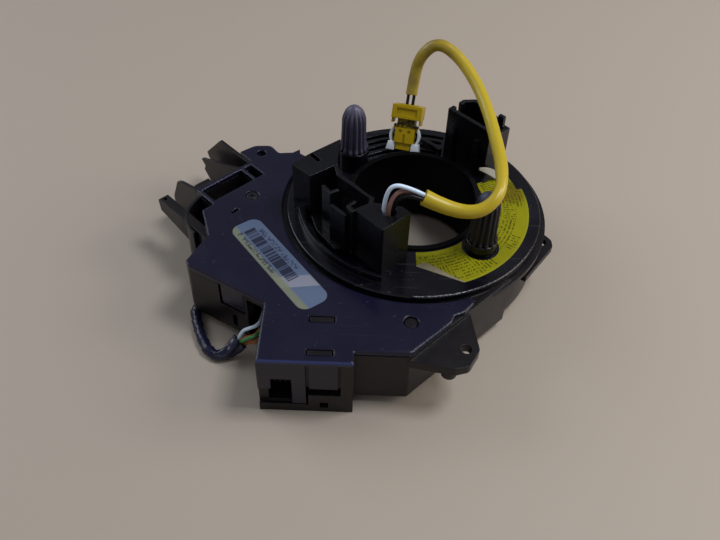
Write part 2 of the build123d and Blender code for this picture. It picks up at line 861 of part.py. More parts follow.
lead_wires = {
    "lead_wire_white": [
        (-13.4, -31.8, 6.0),
        (-13.7, -31.6, 17.5),
        (-14.0, -31.4, 28.5),
        (-11.4, -31.2, 37.0),
        (-3.16, -31.0, 34.3),
        (1.38, -32.09, 32.53),
    ],
    "lead_wire_brown": [
        (-11.8, -33.4, 6.0),
        (-11.9, -33.2, 17.0),
        (-12.3, -33.0, 27.0),
        (-9.6, -31.6, 33.4),
        (-3.5, -29.9, 32.8),
        (1.03, -31.03, 30.99),
    ],
    "lead_wire_black": [
        (-10.5, -31.8, 6.0),
        (-10.3, -31.9, 16.0),
        (-10.4, -31.7, 25.5),
        (-8.4, -32.3, 31.2),
        (-3.96, -32.3, 32.6),
        (0.59, -32.88, 30.99),
    ],
}

harness_route = [
    (-84.5, -31.0, -29.8),
    (-93.6, -36.6, -29.8),
    (-88.9, -50.9, -29.8),
    (-83.9, -61.3, -29.8),
    (-78.9, -64.4, -29.8),
    (-74.1, -62.6, -28.4),
    (-69.9, -59.8, -25.4),
]

harness_wires = {
    "harness_wire_white": [
        (-70.83, -59.28, -24.58),
        (-68.33, -57.61, -22.79),
        (-66.4, -57.0, -17.0),
        (-62.6, -53.0, -15.2),
        (-61.0, -45.6, -17.6),
        (-60.6, -41.2, -14.4),
        (-60.6, -41.2, -9.4),
    ],
    "harness_wire_green": [
        (-69.78, -60.86, -24.58),
        (-67.28, -59.19, -22.79),
        (-63.6, -57.8, -20.6),
        (-60.4, -53.2, -19.6),
        (-58.2, -46.6, -20.4),
        (-57.2, -42.8, -16.4),
        (-57.2, -42.8, -9.4),
    ],
    "harness_wire_orange": [
        (-70.02, -58.74, -26.22),
        (-67.52, -57.07, -24.43),
        (-64.4, -56.0, -23.2),
        (-61.6, -50.5, -22.4),
        (-60.0, -42.6, -23.0),
        (-59.0, -39.0, -16.6),
        (-59.0, -39.0, -9.4),
    ],
    "harness_wire_brown": [
        (-68.97, -60.32, -26.22),
        (-66.47, -58.65, -24.43),
        (-62.6, -57.4, -23.6),
        (-59.2, -52.0, -22.9),
        (-56.6, -44.6, -23.2),
        (-55.2, -41.6, -16.4),
        (-55.2, -41.6, -9.4),
    ],
}


def harness_port():
    """Outlet under the left box that the taped harness comes out of."""
    start, away = harness_route[0], harness_route[1]
    angle = math.degrees(math.atan2(away[1] - start[1], away[0] - start[0]))
    port = block(-5.0, 0.0, -2.8, 2.8, rest_level, box_floor_level + 0.5)
    return Pos(start[0], start[1], 0) * Rot(0, 0, angle) * port


def plug_wires():
    """Two short wires from the end of the sleeve into the plug's neck."""
    wires = []
    for side in (-1.0, 1.0):
        bottom = plug_point(side * 1.3, 3.7, plug_neck_top)
        top = plug_point(side * 1.3, 3.7, plug_lead_start)
        direction = top - bottom
        wires.append(Plane(origin=bottom, z_dir=direction) * rod(0.7, 0, direction.length))
    return Compound(children=wires)


pieces = {
    "top_cover": top_cover(),
    "drum_housing": drum_housing() + harness_port(),
    "base_ring": base_ring(),
    "circuit_carrier": circuit_carrier(),
    "front_socket_insert": front_socket_insert(),
    "front_socket_contacts": front_contacts(),
    "column_switch_contacts": switch_contacts(),
    "cover_screw": screw(-14.0, cover_level, *cover_screw),
    "ribbon_cable": ribbon(),
    "ribbon_outer_terminal": outer_terminal(),
    "ribbon_inner_terminal": inner_terminal(),
    "bar_code_label": bar_code_label(),
    "hub_sleeve": hub_sleeve(),
    "retaining_ring": retaining_ring(),
    "reel_disc": reel_disc(),
    "pin_boss_right": pin_boss(0),
    "pin_boss_left": pin_boss(1),
    "drive_pin_right": drive_pin(0),
    "drive_pin_left": drive_pin(1),
    "terminal_housing": terminal_housing(),
    "pocket_contacts": pocket_contacts(),
    "wheel_switch_shroud": wheel_switch_shroud(),
    "wheel_switch_contacts": wheel_switch_contacts(),
    "reel_sticker": reel_sticker(),
    "plug_body": plug_body(),
    "plug_lock": plug_lock(),
    "plug_clips": plug_clips(),
    "plug_wires": plug_wires(),
}

pieces["lead_sleeve"] = cord_tube(lead_route, sleeve_diameter, "lead_sleeve")
for name, route in lead_wires.items():
    pieces[name] = cord_tube(route, lead_wire_diameter, name)
pieces["harness_tape"] = cord_tube(harness_route, harness_diameter, "harness_tape")
for name, route in harness_wires.items():
    pieces[name] = cord_tube(route, harness_wire_diameter, name)

for name, shape in pieces.items():
    export_step(shape, f"parts/{name}.step")
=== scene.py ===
import math

import bpy
from mathutils import Matrix, Vector
from mathutils import noise as ripple


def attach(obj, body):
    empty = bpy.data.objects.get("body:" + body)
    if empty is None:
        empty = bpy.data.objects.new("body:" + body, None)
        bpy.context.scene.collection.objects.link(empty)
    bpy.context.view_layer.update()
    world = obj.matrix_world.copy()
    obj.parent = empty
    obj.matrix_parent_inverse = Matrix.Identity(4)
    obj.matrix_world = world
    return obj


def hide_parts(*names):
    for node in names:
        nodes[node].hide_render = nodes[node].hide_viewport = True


MM = 0.001

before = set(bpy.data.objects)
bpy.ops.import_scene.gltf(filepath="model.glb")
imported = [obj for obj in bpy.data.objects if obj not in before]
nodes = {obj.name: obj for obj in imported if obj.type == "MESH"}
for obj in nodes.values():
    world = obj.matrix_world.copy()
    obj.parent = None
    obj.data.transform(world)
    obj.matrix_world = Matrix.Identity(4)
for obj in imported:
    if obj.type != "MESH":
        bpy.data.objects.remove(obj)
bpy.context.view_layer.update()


# Camera, bench and lights

camera_place = Vector((-0.0223, -0.2625, 0.2317))
camera_pitch = math.radians(46.33)
camera_roll = math.radians(2.0)
camera_lens = 40
camera_sensor = 36
camera_clip = 0.01

bench_level = -0.032
bench_width = 6
bench_colour = (0.40, 0.34, 0.28, 1)
bench_roughness = 0.6

room_colour = (0.86, 0.90, 1.0, 1)
room_strength = 0.22

# Place, width and height, power and colour of each lamp. All of them aim at the reel's axis.
lamps = {
    "ceiling": ((0.45, 0.0, 1.0), (0.3, 0.3), 5.8, (0.90, 0.94, 1.0)),
    "right_window": ((0.85, 0.12, 0.5), (0.5, 0.5), 4.6, (1.0, 0.93, 0.86)),
    "left_window": ((-0.75, 0.35, 0.55), (0.6, 0.5), 2.8, (0.88, 0.93, 1.0)),
    "front_fill": ((-0.35, -0.9, 0.5), (0.8, 0.6), 0.6, (1.0, 0.94, 0.90)),
}


def place_camera():
    forward = Vector((0, math.cos(camera_pitch), -math.sin(camera_pitch)))
    level_right = Vector((1, 0, 0))
    level_up = level_right.cross(forward)
    right = level_right * math.cos(camera_roll) + level_up * math.sin(camera_roll)
    up = level_up * math.cos(camera_roll) - level_right * math.sin(camera_roll)
    turn = Matrix((right, up, -forward)).transposed()
    bpy.ops.object.camera_add(location=camera_place, rotation=turn.to_euler())
    camera = bpy.context.object
    camera.name = "camera"
    camera.data.lens = camera_lens
    camera.data.sensor_width = camera_sensor
    camera.data.clip_start = camera_clip
    bpy.context.scene.camera = camera


def area_lamp(name, place, size, power, colour):
    aim = (-Vector(place)).to_track_quat("-Z", "Y")
    bpy.ops.object.light_add(type="AREA", location=place, rotation=aim.to_euler())
    lamp = bpy.context.object
    lamp.name = name
    lamp.data.shape = "RECTANGLE"
    lamp.data.size, lamp.data.size_y = size
    lamp.data.energy = power
    lamp.data.color = colour


def light_the_bench():
    world = bpy.data.worlds.new("room")
    world.use_nodes = True
    background = world.node_tree.nodes["Background"]
    background.inputs["Color"].default_value = room_colour
    background.inputs["Strength"].default_value = room_strength
    bpy.context.scene.world = world
    for name, values in lamps.items():
        area_lamp(name, *values)
    bpy.context.scene.view_settings.view_transform = "Standard"


# Node building

FLOAT, COLOUR, VECTOR = "NodeSocketFloat", "NodeSocketColor", "NodeSocketVector"


def new_material(name):
    material = bpy.data.materials.new(name)
    material.use_nodes = True
    material.node_tree.nodes.clear()
    return material


def add(tree, kind, **settings):
    node = tree.nodes.new(kind)
    for key, value in settings.items():
        setattr(node, key, value)
    return node


def connect(tree, start, end):
    tree.links.new(start, end)


def new_group(name, inputs, outputs):
    """Node group with the named sockets, and its input and output nodes."""
    group = bpy.data.node_groups.new(name, "ShaderNodeTree")
    for label, kind, value in inputs:
        socket = group.interface.new_socket(label, in_out="INPUT", socket_type=kind)
        socket.default_value = value
    for label, kind in outputs:
        group.interface.new_socket(label, in_out="OUTPUT", socket_type=kind)
    return group, group.nodes.new("NodeGroupInput"), group.nodes.new("NodeGroupOutput")


def place_group(tree, group, **values):
    node = add(tree, "ShaderNodeGroup", node_tree=group)
    for label, value in values.items():
        node.inputs[label.replace("_", " ")].default_value = value
    return node


def shader(tree, **values):
    """Principled BSDF with the given inputs, joined to the material's output."""
    node = add(tree, "ShaderNodeBsdfPrincipled")
    for label, value in values.items():
        node.inputs[label.replace("_", " ")].default_value = value
    output = add(tree, "ShaderNodeOutputMaterial")
    connect(tree, node.outputs[0], output.inputs["Surface"])
    return node


def object_place(tree):
    return add(tree, "ShaderNodeTexCoord").outputs["Object"]


def axes(tree, vector):
    split = add(tree, "ShaderNodeSeparateXYZ")
    connect(tree, vector, split.inputs[0])
    return split.outputs["X"], split.outputs["Y"], split.outputs["Z"]


def noise(tree, place, scale, detail, roughness=0.5):
    node = add(tree, "ShaderNodeTexNoise")
    node.inputs["Scale"].default_value = scale
    node.inputs["Detail"].default_value = detail
    node.inputs["Roughness"].default_value = roughness
    connect(tree, place, node.inputs["Vector"])
    return node.outputs["Fac"]


def steps(tree, value, low, high, low_out=0.0, high_out=1.0):
    """Soft step from low_out to high_out while the value goes from low to high."""
    node = add(tree, "ShaderNodeMapRange", interpolation_type="SMOOTHSTEP")
    node.inputs["From Min"].default_value = low
    node.inputs["From Max"].default_value = high
    node.inputs["To Min"].default_value = low_out
    node.inputs["To Max"].default_value = high_out
    connect(tree, value, node.inputs["Value"])
    return node.outputs["Result"]


def calculate(tree, operation, first, second=None):
    node = add(tree, "ShaderNodeMath", operation=operation)
    for socket, value in zip(node.inputs, (first, second)):
        if value is None:
            continue
        if isinstance(value, (int, float)):
            socket.default_value = value
        else:
            connect(tree, value, socket)
    return node.outputs[0]


def times(tree, first, second):
    return calculate(tree, "MULTIPLY", first, second)


def plus(tree, first, second):
    return calculate(tree, "ADD", first, second)


def minus(tree, first, second):
    return calculate(tree, "SUBTRACT", first, second)


def mix(tree, amount, first, second):
    node = add(tree, "ShaderNodeMix", data_type="RGBA")
    factor, colour_a, colour_b = node.inputs[0], node.inputs[6], node.inputs[7]
    for socket, value in ((factor, amount), (colour_a, first), (colour_b, second)):
        if isinstance(value, tuple):
            socket.default_value = (*value, 1)
        else:
            connect(tree, value, socket)
    return node.outputs[2]


def overlay(tree, mask, strength, under, over):
    """Colour over another one, laid on by the mask at the given strength."""
    return mix(tree, times(tree, mask, strength), under, over)


def band(tree, value, low, high):
    """1 between low and high and 0 elsewhere."""
    above = calculate(tree, "GREATER_THAN", value, low)
    below = calculate(tree, "LESS_THAN", value, high)
    return times(tree, above, below)


def rectangle(tree, x, y, left, right, low, high):
    """1 inside a rectangle whose sides are given in millimetres, and 0 elsewhere."""
    return times(tree, band(tree, x, left * MM, right * MM), band(tree, y, low * MM, high * MM))


def cells(tree, value, size):
    """Whole number of the cell that a value falls in."""
    return calculate(tree, "FLOOR", calculate(tree, "DIVIDE", value, size))


def chance(tree, x, y):
    """Random value from 0 to 1 that is the same all over one cell."""
    cell = add(tree, "ShaderNodeCombineXYZ")
    connect(tree, x, cell.inputs[0])
    connect(tree, y, cell.inputs[1])
    white = add(tree, "ShaderNodeTexWhiteNoise")
    connect(tree, cell.outputs[0], white.inputs["Vector"])
    return white.outputs["Value"]


def dash_rows(tree, x, y, pitch, size, fill):
    """Rows of short generic dashes, like fine print that is too small to read."""
    row = cells(tree, y, pitch)
    inside = minus(tree, calculate(tree, "DIVIDE", y, pitch), row)
    written = band(tree, inside, 0.22, 0.68)
    marks = calculate(tree, "LESS_THAN", chance(tree, cells(tree, x, size), row), fill)
    return times(tree, written, marks)


def soft_spot(tree, place, centre, radius):
    """Soft round patch that fades out at its radius."""
    apart = add(tree, "ShaderNodeVectorMath", operation="DISTANCE")
    apart.inputs[1].default_value = centre
    connect(tree, place, apart.inputs[0])
    return steps(tree, apart.outputs["Value"], radius, radius * 0.4)


def turned_place(tree, centre, angle):
    """Object coordinates about a centre, turned so that X runs along the given angle."""
    shift = add(tree, "ShaderNodeMapping", vector_type="TEXTURE")
    shift.inputs["Location"].default_value = centre
    shift.inputs["Rotation"].default_value = (0, 0, angle)
    connect(tree, object_place(tree), shift.inputs["Vector"])
    return shift.outputs[0]


# Shared effects

def build_weathering():
    """Dust on upward faces, rubbed patches and fine scratches over a base colour."""
    group, ins, outs = new_group(
        "weathering",
        [
            ("Colour", COLOUR, (0.02, 0.02, 0.02, 1)),
            ("Dust Colour", COLOUR, (0.3, 0.28, 0.25, 1)),
            ("Dust", FLOAT, 0.2),
            ("Scratches", FLOAT, 0.3),
            ("Roughness", FLOAT, 0.4),
        ],
        [("Colour", COLOUR), ("Roughness", FLOAT)],
    )
    place = object_place(group)
    rise = axes(group, add(group, "ShaderNodeNewGeometry").outputs["Normal"])[2]
    upward = steps(group, rise, 0.3, 0.95, low_out=0.25)
    clouds = steps(group, noise(group, place, scale=34, detail=5, roughness=0.62), 0.42, 0.78)
    specks = steps(group, noise(group, place, scale=620, detail=1.5), 0.70, 0.76)
    cover = plus(group, times(group, clouds, 0.35), times(group, specks, 2.5))
    cover = times(group, times(group, cover, upward), ins.outputs["Dust"])
    dusted = mix(group, cover, ins.outputs["Colour"], ins.outputs["Dust Colour"])

    stretch = add(group, "ShaderNodeMapping")
    stretch.inputs["Rotation"].default_value = (0.2, 0.3, 0.8)
    stretch.inputs["Scale"].default_value = (1.0, 22.0, 6.0)
    connect(group, place, stretch.inputs["Vector"])
    lines = steps(group, noise(group, stretch.outputs[0], scale=38, detail=2), 0.66, 0.70)
    lines = times(group, lines, ins.outputs["Scratches"])
    scratched = overlay(group, lines, 0.35, dusted, ins.outputs["Dust Colour"])

    patches = noise(group, place, scale=70, detail=4, roughness=0.6)
    patches = steps(group, patches, 0.3, 0.7, low_out=-0.05, high_out=0.06)
    rough = plus(group, ins.outputs["Roughness"], times(group, cover, 0.35))
    rough = plus(group, rough, patches)
    rough = minus(group, rough, times(group, lines, 0.08))
    connect(group, scratched, outs.inputs["Colour"])
    connect(group, rough, outs.inputs["Roughness"])
    return group


def build_moulded_relief():
    """Rounded moulding edges and the fine grain of a spark-eroded mould, as a normal."""
    group, ins, outs = new_group(
        "moulded_relief",
        [
            ("Grain", FLOAT, 0.2),
            ("Grain Scale", FLOAT, 1800.0),
            ("Waviness", FLOAT, 0.1),
            ("Edge", FLOAT, 0.35 * MM),
        ],
        [("Normal", VECTOR)],
    )
    place = object_place(group)
    edges = add(group, "ShaderNodeBevel", samples=6)
    connect(group, ins.outputs["Edge"], edges.inputs["Radius"])
    grain = add(group, "ShaderNodeTexNoise")
    connect(group, ins.outputs["Grain Scale"], grain.inputs["Scale"])
    connect(group, place, grain.inputs["Vector"])
    waves = noise(group, place, scale=60, detail=2)
    height = times(group, grain.outputs["Fac"], ins.outputs["Grain"])
    height = plus(group, height, times(group, waves, ins.outputs["Waviness"]))
    bump = add(group, "ShaderNodeBump")
    bump.inputs["Strength"].default_value = 1.0
    bump.inputs["Distance"].default_value = 0.1 * MM
    connect(group, height, bump.inputs["Height"])
    connect(group, edges.outputs["Normal"], bump.inputs["Normal"])
    connect(group, bump.outputs["Normal"], outs.inputs["Normal"])
    return group


weathering = build_weathering()
relief = build_moulded_relief()


# Plastics

def moulded_plastic(
    name, colour, roughness, dust=0.2, scratches=0.3, grain=0.2,
    dust_colour=(0.30, 0.28, 0.26, 1), edge=0.35, **extra
):
    """Moulded plastic with dust, scratches and grain; edge is its rounding in millimetres."""
    material = new_material(name)
    tree = material.node_tree
    surface = shader(tree, **extra)
    worn = place_group(
        tree,
        weathering,
        Colour=(*colour, 1),
        Dust_Colour=dust_colour,
        Dust=dust,
        Scratches=scratches,
        Roughness=roughness,
    )
    shape = place_group(tree, relief, Grain=grain, Waviness=0.6, Edge=edge * MM)
    connect(tree, worn.outputs["Colour"], surface.inputs["Base Color"])
    connect(tree, worn.outputs["Roughness"], surface.inputs["Roughness"])
    connect(tree, shape.outputs["Normal"], surface.inputs["Normal"])
    return material


def tint(material, mask, colour):
    """Lay a second colour over a plastic's own where the mask is 1."""
    tree = material.node_tree
    base_colour = tree.nodes["Principled BSDF"].inputs["Base Color"]
    worn = base_colour.links[0].from_socket
    connect(tree, mix(tree, mask, worn, colour), base_colour)


def cover_plastic():
    """The cover's moulded plastic, with a painted blue highlight along its rounded front edge."""
    # The blue in the cover's base colour is painted sheen: it stands in for the blue window light
    # that the flat top reflects.
    material = moulded_plastic(
        "cover_black", (0.0060, 0.0052, 0.0200), 0.22, dust=0.05, scratches=0.10, grain=0.10,
        dust_colour=(0.10, 0.10, 0.15, 1), edge=1.3, Specular_IOR_Level=0.42
    )
    tree = material.node_tree
    _, y, z = axes(tree, object_place(tree))
    # Painted highlight: a blue band laid into the colour along the top of the front edge, for the
    # light that the rounded edge reflects.
    front = steps(tree, y, -86.5 * MM, -87.2 * MM)
    upper = steps(tree, z, -2.8 * MM, -1.8 * MM)
    painted_edge_highlight = times(tree, times(tree, front, upper), 0.8)
    tint(material, painted_edge_highlight, (0.030, 0.042, 0.150))
    return material


def pin_plastic(name, foot_colour, dome_colour):
    """Drive pin plastic, darker round its foot and paler over its dome."""
    material = moulded_plastic(
        name, foot_colour, 0.36, dust=0.05, grain=0.3, Specular_IOR_Level=0.35
    )
    tree = material.node_tree
    _, _, z = axes(tree, object_place(tree))
    tint(material, steps(tree, z, 22 * MM, 34 * MM), dome_colour)
    return material


# The plug's own frame: its nose, the way along it, its side and its back.
plug_nose = Vector((-5.3, 30.4, 5.2))
plug_along = Vector((0.105, 0.49, 0.865)).normalized()
plug_side = Vector((0.96, -0.26, 0.03))
plug_side = (plug_side - plug_along * plug_side.dot(plug_along)).normalized()
plug_back = plug_along.cross(plug_side)


def plug_point(x, y, z):
    """Place of a point of the plug's own frame, in millimetres."""
    return plug_nose + plug_side * x + plug_back * y + plug_along * z


def plug_plastic(name):
    return moulded_plastic(
        name, (0.42, 0.285, 0.001), 0.36, dust=0.0, scratches=0.05, Specular_IOR_Level=0.14
    )


def plug_moulding():
    """Yellow plug plastic with a dark ribbed band round the neck."""
    material = plug_plastic("plug_body_yellow")
    tree = material.node_tree
    place = object_place(tree)
    from_nose = add(tree, "ShaderNodeVectorMath", operation="SUBTRACT")
    from_nose.inputs[1].default_value = plug_nose * MM
    connect(tree, place, from_nose.inputs[0])
    reach = add(tree, "ShaderNodeVectorMath", operation="DOT_PRODUCT")
    reach.inputs[1].default_value = plug_along
    connect(tree, from_nose.outputs[0], reach.inputs[0])
    neck = band(tree, reach.outputs["Value"], 10.0 * MM, 14.6 * MM)
    ribs = noise(tree, place, scale=900, detail=2, roughness=0.6)
    ribs = steps(tree, ribs, 0.42, 0.58, low_out=0.55)
    tint(material, times(tree, neck, ribs), (0.035, 0.022, 0.002))
    return material


def sleeve_vinyl():
    """Yellow vinyl with painted shade, a darker brown, along its upper end where it goes down to
    the plug and turns away from the light.
    """
    material = moulded_plastic(
        "sleeve_yellow", (0.50, 0.37, 0.012), 0.34, dust=0.12, scratches=0.15,
        dust_colour=(0.30, 0.2, 0.03, 1)
    )
    tree = material.node_tree
    place = object_place(tree)
    # Painted shade: the sleeve's end that goes down to the plug lies on its shadowed side, so it is
    # mottled darker brown here.
    sleeve_painted_shade = soft_spot(tree, place, (0, 54 * MM, 40 * MM), 26 * MM)
    speckle = noise(tree, place, scale=150, detail=3, roughness=0.6)
    speckle = steps(tree, speckle, 0.35, 0.7, low_out=0.55)
    sleeve_painted_shade = times(tree, times(tree, sleeve_painted_shade, speckle), 0.85)
    tint(material, sleeve_painted_shade, (0.17, 0.11, 0.025))
    return material


# Label and sticker

label_centre = (-55.5 * MM, -37.6 * MM, 0)
label_turn = math.radians(-52.5)


def label_paper():
    """Pale label: a field of bars between two rows of dashes, a green edge and a blank end."""
    material = new_material("bar_label")
    tree = material.node_tree
    surface = shader(tree, Roughness=0.45, Specular_IOR_Level=0.2)
    x, y, _ = axes(tree, turned_place(tree, label_centre, label_turn))
    clouds = noise(tree, object_place(tree), scale=60, detail=4)

    paper = mix(tree, clouds, (0.080, 0.112, 0.190), (0.120, 0.155, 0.240))
    slanted = plus(tree, x, times(tree, y, -0.55))
    white_stripe = band(tree, slanted, 9.5 * MM, 16.5 * MM)
    paper = overlay(tree, white_stripe, 0.8, paper, (0.27, 0.27, 0.32))
    wavy = plus(tree, y, times(tree, clouds, 1.6 * MM))
    green_edge = steps(tree, wavy, -2.0 * MM, -3.6 * MM)
    paper = overlay(tree, green_edge, 0.8, paper, (0.190, 0.205, 0.120))

    field = rectangle(tree, x, y, -23, 11.5, -2.6, 2.5)
    field = times(tree, field, steps(tree, clouds, 0.2, 0.5, low_out=0.6))
    one_row = times(tree, x, 0.0)
    bars = calculate(tree, "LESS_THAN", chance(tree, cells(tree, x, 0.46 * MM), one_row), 0.66)
    bars = times(tree, bars, field)
    upper_row = rectangle(tree, x, y, -21, 8, 2.9, 5.2)
    lower_row = rectangle(tree, x, y, -24, 4, -5.6, -3.3)
    dashes = chance(tree, cells(tree, x, 0.75 * MM), cells(tree, y, 0.9 * MM))
    dashes = calculate(tree, "LESS_THAN", dashes, 0.5)
    dashes = times(tree, dashes, plus(tree, upper_row, lower_row))
    border = calculate(tree, "GREATER_THAN", calculate(tree, "ABSOLUTE", y), 6.3 * MM)

    printed = overlay(tree, field, 0.5, paper, (0.050, 0.060, 0.110))
    printed = overlay(tree, bars, 0.85, printed, (0.012, 0.014, 0.030))
    printed = overlay(tree, dashes, 0.7, printed, (0.020, 0.024, 0.045))
    printed = overlay(tree, border, 0.3, printed, (0.12, 0.13, 0.14))
    connect(tree, printed, surface.inputs["Base Color"])
    return material


sticker_middle_radius = 42 * MM
tear_along, tear_across = 0.922, 0.388
tear_offset = 35.2 * MM


def torn_strip(tree, x, y, clouds):
    """White backing left along the torn edge from (0.5, -38.4) to (19.5, -46.4), in millimetres."""
    across = plus(tree, times(tree, x, tear_across), times(tree, y, tear_along))
    across = plus(tree, across, tear_offset)
    across = plus(tree, across, times(tree, clouds, -1.2 * MM))
    along = minus(tree, times(tree, x, tear_along), times(tree, y, tear_across))
    width = steps(tree, along, 17.0 * MM, 36.0 * MM, low_out=3.0 * MM, high_out=0.1 * MM)
    width = times(tree, width, steps(tree, along, 15.0 * MM, 17.5 * MM))
    return calculate(tree, "LESS_THAN", across, width)


def sticker_print(tree, radius, along):
    """Blocks of generic dashes, some level and some upright, with a few blocks left bare."""
    level = dash_rows(tree, along, radius, pitch=1.55 * MM, size=0.45 * MM, fill=0.66)
    upright = dash_rows(tree, radius, along, pitch=1.4 * MM, size=0.45 * MM, fill=0.66)
    block_row, block_column = cells(tree, radius, 5.6 * MM), cells(tree, along, 8.5 * MM)
    turned = calculate(tree, "LESS_THAN", chance(tree, block_row, block_column), 0.42)
    written = calculate(tree, "LESS_THAN", chance(tree, block_column, block_row), 0.82)
    dashes = plus(tree, times(tree, upright, turned), times(tree, level, minus(tree, 1.0, turned)))
    dashes = times(tree, dashes, band(tree, radius, 32.4 * MM, 48.6 * MM))
    return times(tree, dashes, written)


def sticker_film():
    """Yellow film with generic dashes in rows, worn pale along its torn edge."""
    material = new_material("reel_film")
    tree = material.node_tree
    surface = shader(tree, Roughness=0.45, Specular_IOR_Level=0.12)
    place = object_place(tree)
    x, y, _ = axes(tree, place)
    flat = add(tree, "ShaderNodeCombineXYZ")
    connect(tree, x, flat.inputs[0])
    connect(tree, y, flat.inputs[1])
    reach = add(tree, "ShaderNodeVectorMath", operation="LENGTH")
    connect(tree, flat.outputs[0], reach.inputs[0])
    radius = reach.outputs["Value"]
    along = times(tree, calculate(tree, "ARCTAN2", y, x), sticker_middle_radius)
    clouds = noise(tree, place, scale=90, detail=4)

    film = mix(tree, clouds, (0.185, 0.185, 0.0020), (0.290, 0.275, 0.006))
    dashes = sticker_print(tree, radius, along)
    printed = overlay(tree, dashes, 0.72, film, (0.030, 0.027, 0.002))
    rim = calculate(tree, "GREATER_THAN", radius, 49.3 * MM)
    printed = overlay(tree, rim, 0.35, printed, (0.32, 0.31, 0.030))
    stain = soft_spot(tree, place, (42.5 * MM, 9 * MM, 0), 10 * MM)
    printed = overlay(tree, stain, 0.6, printed, (0.075, 0.040, 0.002))
    streaks = noise(tree, place, scale=520, detail=2, roughness=0.6)
    backing = mix(tree, streaks, (0.15, 0.125, 0.075), (0.32, 0.285, 0.20))
    printed = mix(tree, torn_strip(tree, x, y, clouds), printed, backing)
    rubbed = steps(tree, noise(tree, place, scale=240, detail=4, roughness=0.65), 0.62, 0.72)
    printed = overlay(tree, rubbed, 0.3, printed, (0.36, 0.34, 0.09))
    connect(tree, printed, surface.inputs["Base Color"])
    return material


def paint(names, material):
    for name in names:
        piece = nodes[name]
        piece.data.materials.clear()
        piece.data.materials.append(material)


# Cords

wire_bevel_steps = 6
guide_steps = 48
tube_sides = 32
tube_wall = 0.5 * MM


def route_curve(name, points, diameter, steps_between=14):
    """Smooth lead through the points of its route, given in millimetres."""
    line = bpy.data.curves.new(name, "CURVE")
    line.dimensions = "3D"
    line.resolution_u = steps_between
    line.bevel_depth = diameter / 2 * MM
    line.bevel_resolution = wire_bevel_steps
    line.use_fill_caps = True
    spline = line.splines.new("NURBS")
    spline.points.add(len(points) - 1)
    for knot, point in zip(spline.points, points):
        knot.co = (*[value * MM for value in point], 1)
    spline.order_u = 3
    spline.use_endpoint_u = True
    lead = bpy.data.objects.new(name, line)
    bpy.context.scene.collection.objects.link(lead)
    return lead


def spline_places(lead):
    """Points along the smooth line that a lead follows."""
    bare = lead.data.copy()
    bare.bevel_depth = 0
    carrier = bpy.data.objects.new("measure", bare)
    bpy.context.scene.collection.objects.link(carrier)
    line = bpy.data.meshes.new_from_object(carrier)
    places = [vertex.co.copy() for vertex in line.vertices]
    bpy.data.objects.remove(carrier)
    return places


def guide_line(name, points):
    """Smooth line of a lead, taken off the scene once its points are read."""
    guide = route_curve(name, points, 1.0, guide_steps)
    places = spline_places(guide)
    bpy.data.objects.remove(guide)
    return places


def run_length(places):
    return sum((after - before).length for before, after in zip(places, places[1:]))


def tube_rings(places):
    """Place, two directions across and distance travelled, for each ring of a tube."""
    rings = []
    travelled = 0.0
    side = (places[1] - places[0]).orthogonal().normalized()
    for index, place in enumerate(places):
        before, after = places[max(index - 1, 0)], places[min(index + 1, len(places) - 1)]
        along = (after - before).normalized()
        side = (side - along * side.dot(along)).normalized()
        if index:
            travelled += (place - before).length
        rings.append((place, side.copy(), along.cross(side), travelled))
    return rings


def hollow_tube(name, places, radius_at, mouth):
    """Tube along a line, open at both ends to the depth of mouth, and lying on the bench."""
    rings = tube_rings(places)
    total = run_length(places)
    front = [(ring, tube_wall) for ring in rings if ring[3] <= mouth][::-1]
    outside = [(ring, 0.0) for ring in rings]
    back = [(ring, tube_wall) for ring in rings if ring[3] >= total - mouth][::-1]
    rows = front + outside + back

    points = []
    for (place, first, second, distance), inset in rows:
        for step in range(tube_sides):
            angle = math.tau * step / tube_sides
            radius = radius_at(distance, total, angle) - inset
            point = place + (first * math.cos(angle) + second * math.sin(angle)) * radius
            point.z = max(point.z, bench_level)
            points.append(point)

    faces = []
    for row in range(len(rows) - 1):
        start = row * tube_sides
        for step in range(tube_sides):
            here, beside = start + step, start + (step + 1) % tube_sides
            faces.append((here, beside, beside + tube_sides, here + tube_sides))
    last = (len(rows) - 1) * tube_sides
    faces.append(tuple(range(tube_sides))[::-1])
    faces.append(tuple(range(last, last + tube_sides)))

    mesh = bpy.data.meshes.new(name)
    mesh.from_pydata(points, [], faces)
    for face in mesh.polygons:
        face.use_smooth = True
    piece = bpy.data.objects.new(name, mesh)
    bpy.context.scene.collection.objects.link(piece)
    return piece


flare_length = 26 * MM
pinch_place, pinch_reach = 36 * MM, 7 * MM
tape_turn = 5.2 * MM
ragged_length = 11 * MM


def sleeve_radius(distance, total, angle):
    """Wide at the cut mouth, pinched over the drive pin and lightly rippled all along."""
    mouth = max(0.0, 1.0 - distance / flare_length) ** 1.3
    pinch = math.exp(-(((distance - pinch_place) / pinch_reach) ** 2))
    wave = ripple.noise(Vector((distance * 260, math.cos(angle) * 1.2, math.sin(angle) * 1.2)))
    return (2.6 + 0.62 * mouth - 0.30 * pinch + 0.07 * wave) * MM


def tape_radius(distance, total, angle):
    """Overlapping turns of tape with creases, and a ragged wide end round the wires."""
    turn = (distance / tape_turn + angle / math.tau) % 1.0
    overlap = 0.30 * (1.0 - turn) ** 2
    crease = ripple.noise(Vector((distance * 420, math.cos(angle) * 1.6, math.sin(angle) * 1.6)))
    ragged = max(0.0, 1.0 - (total - distance) / ragged_length)
    folds = 0.45 * math.sin(angle * 5 + distance * 500) * ragged
    return (2.1 + overlap + 0.22 * crease + 1.3 * ragged + folds) * MM


lead_wire_diameter = 1.7
harness_wire_diameter = 1.5
sleeve_mouth = 9 * MM
tape_mouth = 3 * MM

